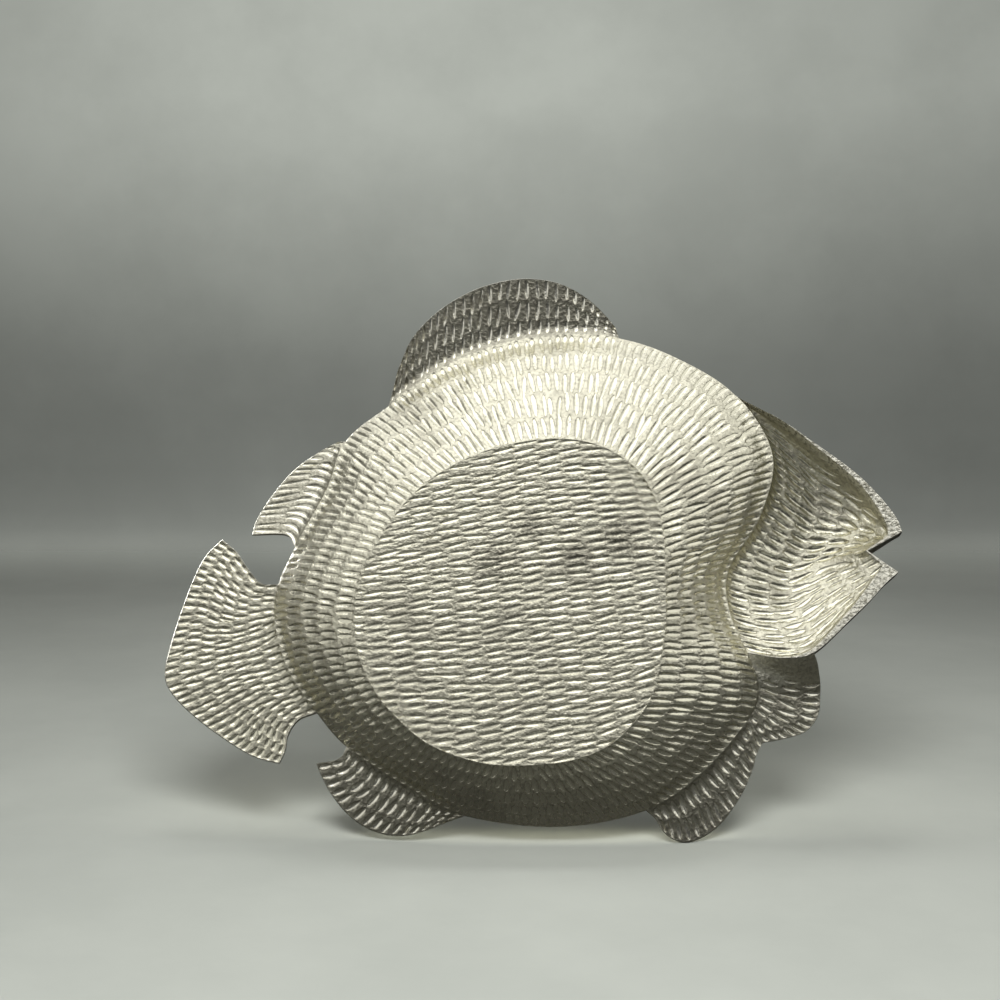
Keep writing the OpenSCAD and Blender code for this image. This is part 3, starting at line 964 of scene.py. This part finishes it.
def make_pectoral():
    """Make the pectoral fin with the throat wall that joins it to the head."""
    n, m = PECTORAL_SQUARES
    root = root_line(PECTORAL_ROOT, n)
    throat = head_line(root[0], THROAT_SHARES, round(m/THROAT_PART))[:m + 1]
    pelvic_start = beside(PELVIC_ROOT, PELVIC_START, PELVIC_OUT, PELVIC_LIFT)
    end = side_line(root_line(PELVIC_ROOT, 2)[0], pelvic_start, m)
    middle = beside(PECTORAL_ROOT, PECTORAL_EDGE, PECTORAL_OUT, PECTORAL_LIFT)
    edge = on_open(np.vstack([throat[-1], middle, end[-1]]), n)
    sheet = patch(root, edge, throat, end, THROAT_TURN)
    s = np.linspace(0, 1, n + 1)[:, None]
    t = np.linspace(0, 1, m + 1)[None, :]
    throat_wall = 1 - fade(s - 0.22, 0.2) + 0*t
    # Rough ground patch by the throat, bright too: part ground finish, part painted highlight
    ground_and_highlight_corner = 0.8*(1 - fade(abs(s - 0.30), 0.16))*(1 - fade(t - 0.15, 0.55))
    return make_section("pectoral_fin_metal", "pectoral_fin", sheet, sheet + fin_thickness(m),
                        rings=3, pitch=5.6*MM, seed=1100, free=("edge",), ground=ground_and_highlight_corner,
                        calm=1 - throat_wall, sandy=0.6*(1 - throat_wall), **SLIVERS)


pectoral_fin = make_pectoral()
pieces = [foot, wall, dorsal_fin, rear_dorsal_fin, tail_fin, anal_fin, pelvic_fin, head,
          pectoral_fin]
print("pieces made:", len(pieces))

# %% [markdown]
# Cast aluminium is a soft silvery grey. One even metal would look like plastic foil here. On the
# real platter handling keeps the cuts and the edges bright, while oxide and sand stay on the rough
# skin between them. So the colour and the roughness follow how deep each point was cut, which each
# piece carries as a value called hollow. A fine grain left by the sand mould goes over everything,
# and the ground band round the mouth is paler, rougher and pitted.


# %% Helpers for materials
def new_material(name):
    """Start an empty material and return it with its node tree."""
    material = bpy.data.materials.new(name)
    material.use_nodes = True
    material.node_tree.nodes.clear()
    return material, material.node_tree


def node(tree, kind, settings=None, **inputs):
    """Add a node; inputs are values, or sockets of other nodes."""
    made = tree.nodes.new(kind)
    for key, value in (settings or {}).items():
        setattr(made, key, value)
    for key, value in inputs.items():
        numbered = key[0] == "i" and key[1:].isdigit()
        socket = made.inputs[int(key[1:]) if numbered else key.replace("_", " ")]
        if isinstance(value, bpy.types.NodeSocket):
            tree.links.new(value, socket)
        else:
            socket.default_value = value
    return made


def attribute(tree, name):
    """A value that the piece carries at each point."""
    return node(tree, "ShaderNodeAttribute", {"attribute_name": name}).outputs["Fac"]


def noise(tree, place, scale, detail, rough):
    """Uneven spots, from 0 to 1."""
    return node(tree, "ShaderNodeTexNoise", Vector=place, Scale=scale, Detail=detail,
                Roughness=rough).outputs[0]


# %% Helpers for numbers and colours
def between(tree, value, low, high, to_low=0.0, to_high=1.0):
    """A soft step from to_low to to_high, as the value goes from low to high."""
    return node(tree, "ShaderNodeMapRange", {"interpolation_type": "SMOOTHSTEP"}, i0=value,
                i1=low, i2=high, i3=to_low, i4=to_high).outputs[0]


def maths(tree, operation, first, second, third=0.0):
    """One step of arithmetic."""
    return node(tree, "ShaderNodeMath", {"operation": operation}, i0=first, i1=second,
                i2=third).outputs[0]


def times(tree, first, second):
    """The product of two values."""
    return maths(tree, "MULTIPLY", first, second)


def plus(tree, first, second):
    """The sum of two values."""
    return maths(tree, "ADD", first, second)


def blend(tree, share, first, second, how="MIX"):
    """The first colour, with a share of the second over it."""
    return node(tree, "ShaderNodeMix", {"data_type": "RGBA", "blend_type": how}, i0=share,
                i6=first, i7=second).outputs[2]


# %% Colours of the metal
SKIN = (0.76, 0.735, 0.60, 1)
SANDY_SKIN = (0.42, 0.405, 0.335, 1)
DIRTY_SKIN = (0.30, 0.28, 0.235, 1)
CUT = (0.84, 0.815, 0.67, 1)
SANDY_CUT = (0.97, 0.95, 0.86, 1)
DIRTY_CUT = (0.45, 0.435, 0.355, 1)
TARNISH = (0.33, 0.31, 0.255, 1)
SPOT = (0.20, 0.185, 0.15, 1)
GROUND = (0.99, 0.97, 0.86, 1)
GROUND_PIT = (0.38, 0.365, 0.30, 1)
WORN = (0.86, 0.84, 0.745, 1)
# Colour of the painted shade on edges that face away from the light
PAINTED_EDGE_SHADE = (0.17, 0.165, 0.145, 1)
# Each kind of spots: how fine they are, how many layers of detail, and how ragged
SAND_GRAIN = (430, 2, 0.55)
GRIT = (400, 3, 0.6)
TARNISH_PATCHES = (22, 4, 0.6)
SPECKS = (330, 4, 0.75)
STAIN_EDGE = (75, 5, 0.7)


def bare_metal(tree, cut, sand, sandy):
    """Colour of the metal, brighter where it was cut, with dirt in the grain."""
    skin = blend(tree, sandy, SKIN, SANDY_SKIN)
    dirt = times(tree, between(tree, sand, 0.46, 0.60), between(tree, sandy, 0.0, 1.0, 0.32, 0.7))
    skin = blend(tree, dirt, skin, DIRTY_SKIN)
    scooped = blend(tree, sandy, CUT, SANDY_CUT)
    scooped = blend(tree, times(tree, dirt, 0.35), scooped, DIRTY_CUT)
    return blend(tree, cut, skin, scooped)


# %% [markdown]
# Dark stains cloud the middle of the foot, as aluminium gets from damp. An image painted over the
# foot could show them, but each spot can be said in a few words: where it is and how far it
# reaches. A noise makes its soft edge ragged.

# %% Stains on the foot
# Where each stain is, and how far it reaches
STAINS = (((-0.070, 0.040, 0), 18*MM), ((-0.042, 0.026, 0), 14*MM), ((0.008, 0.022, 0), 18*MM),
          ((-0.014, 0.046, 0), 15*MM))


def stained(tree, place, sand, colour):
    """The colour, with the stains over it."""
    for middle, reach in STAINS:
        off = node(tree, "ShaderNodeVectorMath", {"operation": "DISTANCE"}, i0=place,
                   i1=middle).outputs[1]
        off = plus(tree, off, times(tree, noise(tree, place, *STAIN_EDGE), reach*1.5))
        stain = times(tree, between(tree, off, reach*0.8, reach*2.0, 1.0, 0.0), 0.70)
        stain = times(tree, stain, between(tree, sand, 0.35, 0.6, 0.35, 1.0))
        colour = blend(tree, stain, colour, SPOT)
    return colour


# %% Metal
SKIN_ROUGH = 0.35
CUT_ROUGH = 0.19
GRAIN_HEIGHT = 0.9*MM


def metal_material():
    """Cast aluminium, bright where cut, dull on its rough skin, with painted shade on edges."""
    material, tree = new_material("cast_aluminium")
    place = node(tree, "ShaderNodeTexCoord").outputs["Object"]
    ground, worn, shade, sandy = (attribute(tree, name) for name in MARKS)
    cut = between(tree, attribute(tree, "hollow"), 0.02, 0.2)
    sand = noise(tree, place, *SAND_GRAIN)
    grit = noise(tree, place, *GRIT)
    tarnish = between(tree, noise(tree, place, *TARNISH_PATCHES), 0.50, 0.70)
    specks = between(tree, noise(tree, place, *SPECKS), 0.60, 0.68)

    colour = bare_metal(tree, cut, sand, sandy)
    for where, part, over in ((tarnish, 0.4, TARNISH), (specks, 0.6, SPOT)):
        colour = blend(tree, times(tree, where, part), colour, over)
    colour = stained(tree, place, sand, colour)
    pitted = blend(tree, between(tree, grit, 0.45, 0.66), GROUND, GROUND_PIT)
    for where, part, over in ((ground, 0.9, pitted), (worn, 0.85, WORN), (shade, 0.92, PAINTED_EDGE_SHADE)):
        colour = blend(tree, times(tree, where, part), colour, over)

    rough = between(tree, cut, 0.0, 1.0, SKIN_ROUGH, CUT_ROUGH)
    for where, more in ((shade, 0.4), (tarnish, 0.08), (ground, 0.06)):
        rough = plus(tree, rough, times(tree, where, more))
    height = times(tree, sand, between(tree, cut, 0.0, 1.0, 1.0, 0.3))
    height = plus(tree, height, times(tree, times(tree, grit, ground), 2.4))
    bump = node(tree, "ShaderNodeBump", Height=height, Strength=1.0, Distance=GRAIN_HEIGHT)
    # Painted shade is matt and not metallic, so no reflection lightens it
    shader = node(tree, "ShaderNodeBsdfPrincipled", Metallic=maths(tree, "SUBTRACT", 1.0, shade),
                  Base_Color=colour, Roughness=rough, Normal=bump.outputs[0])
    node(tree, "ShaderNodeOutputMaterial", Surface=shader.outputs[0])
    return material


# %% Metal on every piece
cast_aluminium = metal_material()
for piece in pieces:
    piece.data.materials.clear()
    piece.data.materials.append(cast_aluminium)
print("metal on", len(pieces), "pieces, with", len(cast_aluminium.node_tree.nodes), "nodes")

# %% [markdown]
# The stage has two pale floors, because the platter is shown in two ways. One is the paper that it
# stands on in the photograph; seen from the platter's own frame it is a slope that touches the
# lower fins. The other is level, for looking at the platter as it lies in use. One floor for both
# would need the platter to move. Each shows only from the side that it is meant for.


# %% Floors
def lowest_along(direction):
    """How low the platter reaches along a direction."""
    return min(float((read_points(piece) @ np.array(direction)).min()) for piece in pieces)


def add_sheet(name, middle, up, ahead, size):
    """Add a flat square sheet that faces up."""
    side = ahead.cross(up)
    bpy.ops.object.select_all(action="DESELECT")
    bpy.ops.mesh.primitive_plane_add(size=size)
    sheet = bpy.context.object
    sheet.name = name
    turn = Matrix((side, ahead, up)).transposed().to_4x4()
    sheet.matrix_world = Matrix.Translation(middle) @ turn
    return sheet


def unseen_by(sheet, kinds):
    """Let these kinds of rays pass through the sheet."""
    for kind in kinds:
        setattr(sheet, "visible_" + kind, False)


# %% Paper and level floor
PAPER_TILT = math.radians(27)
LEVEL_Z = -0.2*MM
UP, ACROSS = Vector((0, 0, 1)), Vector((0, 1, 0))

paper_up = Vector((0, math.cos(PAPER_TILT), -math.sin(PAPER_TILT)))
paper_back = Vector((0, math.sin(PAPER_TILT), math.cos(PAPER_TILT)))
paper_level = lowest_along(paper_up)
paper = add_sheet("paper_floor", paper_up*paper_level, paper_up, paper_back, 9)
unseen_by(paper, ["shadow"])
level = add_sheet("level_floor", LEVEL_Z*UP, UP, ACROSS, 14)
unseen_by(level, ["shadow", "diffuse", "glossy", "transmission", "volume_scatter"])
print("paper level", round(paper_level/MM, 1), "mm")

# %% [markdown]
# The shadow under the platter is nearly black in the photograph. Light that the serving side
# throws back onto the paper would brighten it. Weaker lamps would dim the metal as well, so a black
# card behind the platter stops that light, as a photographer would do. Only light that leaves the
# floors meets the card, so it never shows.

# %% Black card
CARD_MIDDLE = Vector((-0.01, 0.01, 0.062))
CARD_SIZE = 0.27

black_card = add_sheet("black_card", CARD_MIDDLE, UP, ACROSS, CARD_SIZE)
unseen_by(black_card, ["camera", "shadow", "glossy", "transmission", "volume_scatter"])
card_finish, card_tree = new_material("black_card")
card_paint = node(card_tree, "ShaderNodeBsdfDiffuse", Color=(0.01, 0.01, 0.01, 1))
node(card_tree, "ShaderNodeOutputMaterial", Surface=card_paint.outputs[0])
black_card.data.materials.append(card_finish)
print("black card", round(CARD_SIZE/MM), "mm wide,", round(CARD_MIDDLE.z/MM), "mm up")

# %% [markdown]
# The paper is a matt pale green grey, faintly mottled and not quite flat, and it ends softly far
# away, where the backdrop takes over. In the metal it is seen darker near the platter: a painted
# shadow, standing for the platter's own shade on the paper. It shows from its upper side only.
# Where it cuts through the space above the level floor it would hide the platter from other
# angles, so there it is clear.

# %% Paper's finish
PAPER_END = (0.80, 1.30)


def paper_hidden(tree, away):
    """1 where the paper is clear and 0 where it shows."""
    place = node(tree, "ShaderNodeNewGeometry")
    rays = node(tree, "ShaderNodeLightPath").outputs
    height = node(tree, "ShaderNodeSeparateXYZ", i0=place.outputs["Position"]).outputs[2]
    above = maths(tree, "GREATER_THAN", height, LEVEL_Z)
    direct = maths(tree, "LESS_THAN", rays["Transparent Depth"], 0.5)
    hidden = times(tree, times(tree, above, direct), rays["Is Camera Ray"])
    far = between(tree, away, PAPER_END[0], PAPER_END[1])
    for other in (place.outputs["Backfacing"], rays["Is Diffuse Ray"], far):
        hidden = maths(tree, "MAXIMUM", hidden, other)
    return hidden


def paper_material():
    """Paper that shows from its own side only."""
    material, tree = new_material("pale_paper")
    coord = node(tree, "ShaderNodeTexCoord").outputs["Object"]
    away = node(tree, "ShaderNodeSeparateXYZ", i0=coord).outputs[1]
    mottle = between(tree, noise(tree, coord, 5, 5, 0.6), 0.3, 0.7)
    colour = blend(tree, mottle, (0.52, 0.545, 0.495, 1), (0.57, 0.595, 0.54, 1))
    # Seen in the metal, the paper carries a painted shadow, darker towards the platter
    mirrored = blend(tree, between(tree, away, -0.60, -0.05), (0.34, 0.35, 0.32, 1),
                     (0.09, 0.09, 0.08, 1))
    mirror_ray = node(tree, "ShaderNodeLightPath").outputs["Is Glossy Ray"]
    colour = blend(tree, mirror_ray, colour, mirrored)
    bump = node(tree, "ShaderNodeBump", Height=noise(tree, coord, 14, 4, 0.55), Strength=0.05,
                Distance=0.02)
    paint = node(tree, "ShaderNodeBsdfDiffuse", Color=colour, Normal=bump.outputs[0])
    clear = node(tree, "ShaderNodeBsdfTransparent")
    mix = node(tree, "ShaderNodeMixShader", i0=paper_hidden(tree, away),
               i1=paint.outputs[0], i2=clear.outputs[0])
    node(tree, "ShaderNodeOutputMaterial", Surface=mix.outputs[0])
    return material


paper.data.materials.append(paper_material())
print("paper ends", PAPER_END[0], "to", PAPER_END[1], "m behind the platter")

# %% [markdown]
# The level floor is the plain pale table of a product picture. A very large floor would still end
# in a hard line at the horizon, so it turns into the backdrop's own tone within a metre. From below
# it is clear, or it would hide the underside from the camera.

# %% Level floor's finish
PALE = (0.44, 0.452, 0.435, 1)
FLOOR_FADE = (0.30, 1.0)


def level_material():
    """Pale floor that shows from above only and fades into the backdrop far away."""
    material, tree = new_material("pale_floor")
    place = node(tree, "ShaderNodeNewGeometry")
    away = node(tree, "ShaderNodeVectorMath", {"operation": "LENGTH"},
                i0=place.outputs["Position"]).outputs[1]
    paint = node(tree, "ShaderNodeBsdfDiffuse", Color=(0.66, 0.68, 0.655, 1))
    glow = node(tree, "ShaderNodeEmission", Color=PALE)
    far = node(tree, "ShaderNodeMixShader", i0=between(tree, away, FLOOR_FADE[0], FLOOR_FADE[1]),
               i1=paint.outputs[0], i2=glow.outputs[0])
    clear = node(tree, "ShaderNodeBsdfTransparent")
    mix = node(tree, "ShaderNodeMixShader", i0=place.outputs["Backfacing"], i1=far.outputs[0],
               i2=clear.outputs[0])
    node(tree, "ShaderNodeOutputMaterial", Surface=mix.outputs[0])
    return material


level.data.materials.append(level_material())
print("floor fades from", FLOOR_FADE[0], "to", FLOOR_FADE[1], "m away")

# %% [markdown]
# The photograph is lit by one large soft light over the platter. One lamp would be the simple way,
# but a lamp wide enough for the metal washes out the shadows on the paper. So each lamp lights only
# what it is meant for. A wide soft box overhead lights the metal, a smaller one in front lights the
# paper, and a weak one overhead draws the dark line where the platter touches the paper. The last
# two are for the platter as it lies in use: one lights its serving side, the other the level floor.


# %% Soft boxes
def add_softbox(name, middle, size, watts, lit, aim=Vector((0, 0, 0)), spread=180):
    """Add a soft box that faces the point aim and lights only the things in lit.

    Spread is how wide its beam is, in degrees.
    """
    way = (aim - middle).normalized()
    bpy.ops.object.light_add(type="AREA", location=middle)
    lamp = bpy.context.object
    lamp.name = name
    lamp.rotation_euler = way.to_track_quat("-Z", "Y").to_euler()
    lamp.data.shape = "RECTANGLE"
    lamp.data.size, lamp.data.size_y = size
    lamp.data.energy = watts
    lamp.data.spread = math.radians(spread)
    lamp.visible_camera = False
    group = bpy.data.collections.new(name + "_lights")
    for thing in lit:
        group.objects.link(thing)
    lamp.light_linking.receiver_collection = group
    print(name, "at", [round(v, 2) for v in middle], "m,", watts, "W")


def above_camera(degrees):
    """Direction that many degrees above the way to the camera."""
    angle = math.radians(degrees)
    return math.cos(angle)*to_camera + math.sin(angle)*image_up


# %% Lights
contact = paper_up*paper_level - 0.08*paper_back
add_softbox("overhead_softbox", above_camera(98) - 0.12*image_right, (1.4, 1.5), 6.0, pieces)
add_softbox("paper_softbox", above_camera(33)*1.25, (0.7, 0.5), 14.6, [paper])
add_softbox("shadow_softbox", above_camera(103)*1.2, (0.8, 0.4), 1.4, [paper], contact, 100)
add_softbox("serving_softbox", Vector((0.60, 0.50, 0.95)), (0.7, 0.7), 15, pieces)
add_softbox("table_softbox", Vector((0.35, 0.30, 1.50)), (0.8, 0.8), 24, [level])

# %% [markdown]
# Metal shows what it mirrors, so the surroundings matter as much as the lamps. Cards and walls
# could stand round the platter as real ones do, but they would show in other views and cost time.
# They are painted on the sky instead: behind the platter the paper backdrop, with painted light
# and shade, bright at the top and dark where it bends into the floor, in front a dim studio that
# gets brighter upwards, and two pale cards that only the metal sees, one on each side.
# Other views get an even pale horizon.

# %% Tones of the surroundings
# Pairs of a height, from -1 straight down to 1 straight up in the picture, and a tone
# The backdrop's tones are painted light and shade on the paper
BACKDROP = [(-0.14, 0.03), (-0.03, 0.32), (-0.005, 0.34), (0.02, 0.28), (0.045, 0.205),
            (0.07, 0.172), (0.10, 0.165), (0.13, 0.18), (0.16, 0.225), (0.185, 0.27),
            (0.22, 0.335), (0.27, 0.41)]
FRONT = [(-1.0, 0.06), (-0.1, 0.05), (0.2, 0.11), (0.45, 0.30), (0.6, 0.52), (0.75, 0.80),
         (0.95, 0.9)]


def tone_ramp(tree, value, stops, tint):
    """Tint whose strength follows the stops, pairs of a value from -1 to 1 and a tone."""
    share = maths(tree, "MULTIPLY_ADD", value, 0.5, 0.5)
    ramp = node(tree, "ShaderNodeValToRGB", Fac=share)
    marks = ramp.color_ramp.elements
    while len(marks) < len(stops):
        marks.new(0.5)
    for mark, (at, tone) in zip(marks, stops):
        mark.position = (at + 1)/2
        mark.color = (tone*tint[0], tone*tint[1], tone*tint[2], 1)
    return ramp.outputs[0]


def toward(tree, way, direction):
    """How much a way points in a direction: 1 with it, 0 across it and -1 against it."""
    return node(tree, "ShaderNodeVectorMath", {"operation": "DOT_PRODUCT"}, i0=way,
                i1=tuple(direction)).outputs[1]


# %% What is behind and in front of the platter
def backdrop(tree, way, rise, side):
    """The paper behind the platter, mottled, with painted light brighter behind its middle."""
    tone = tone_ramp(tree, rise, BACKDROP, (0.98, 1.03, 0.93))
    off = maths(tree, "ABSOLUTE", plus(tree, side, 0.05), 0.0)
    mottle = between(tree, noise(tree, way, 9, 6, 0.6), 0.3, 0.7, 0.93, 1.07)
    # Painted light, falling off towards the sides
    mottle = times(tree, mottle, between(tree, off, 0.06, 0.30, 1.06, 0.78))
    return node(tree, "ShaderNodeVectorMath", {"operation": "SCALE"}, i0=tone,
                Scale=mottle).outputs[0]


def studio_front(tree, rise, side, mirror_ray):
    """The dim studio in front, with a pale card on the left."""
    tone = tone_ramp(tree, rise, FRONT, (1.0, 1.0, 0.97))
    card = times(tree, between(tree, times(tree, side, -1.0), 0.45, 0.75),
                 between(tree, rise, -0.25, 0.15))
    return blend(tree, times(tree, card, mirror_ray), tone, (0.72, 0.72, 0.69, 1), "LIGHTEN")


def pale_dome(tree, way):
    """A soft bright patch over the serving side, for the metal alone."""
    near = between(tree, toward(tree, way, (0.48, 0.42, 0.77)), 0.1, 1.0)
    return blend(tree, near, (0.11, 0.11, 0.105, 1), (0.85, 0.85, 0.82, 1))


# %% Surroundings
# How much of the surroundings' light falls on matt things; the lamps do the rest
SOFT_LIGHT = 0.15


def paint_world():
    """Paint the backdrop, the pale horizon and the dim studio on the sky."""
    world = bpy.data.worlds.new("studio")
    bpy.context.scene.world = world
    world.use_nodes = True
    tree = world.node_tree
    tree.nodes.clear()
    way = node(tree, "ShaderNodeTexCoord").outputs["Generated"]
    z = node(tree, "ShaderNodeSeparateXYZ", i0=way).outputs[2]
    rise = toward(tree, way, image_up)
    side = toward(tree, way, image_right)
    rays = node(tree, "ShaderNodeLightPath").outputs
    seen, mirrored = rays["Is Camera Ray"], rays["Is Glossy Ray"]

    front = studio_front(tree, rise, side, mirrored)
    horizon = blend(tree, seen, (0.20, 0.20, 0.19, 1), PALE)
    colour = blend(tree, between(tree, z, -0.35, -0.02), front, horizon)
    behind = blend(tree, seen, pale_dome(tree, way), backdrop(tree, way, rise, side))
    colour = blend(tree, between(tree, z, 0.35, 0.65), colour, behind)
    card = times(tree, between(tree, side, 0.28, 0.62), between(tree, rise, 0.23, 0.50))
    colour = blend(tree, times(tree, card, mirrored), colour, (0.96, 0.96, 0.92, 1), "LIGHTEN")
    strength = between(tree, rays["Is Diffuse Ray"], 0.0, 1.0, 1.0, SOFT_LIGHT)
    sky = node(tree, "ShaderNodeBackground", Color=colour, Strength=strength)
    node(tree, "ShaderNodeOutputWorld", Surface=sky.outputs[0])


paint_world()
view = bpy.context.scene.view_settings
view.view_transform = "Standard"
print("view transform", view.view_transform, view.look, view.exposure, view.gamma)
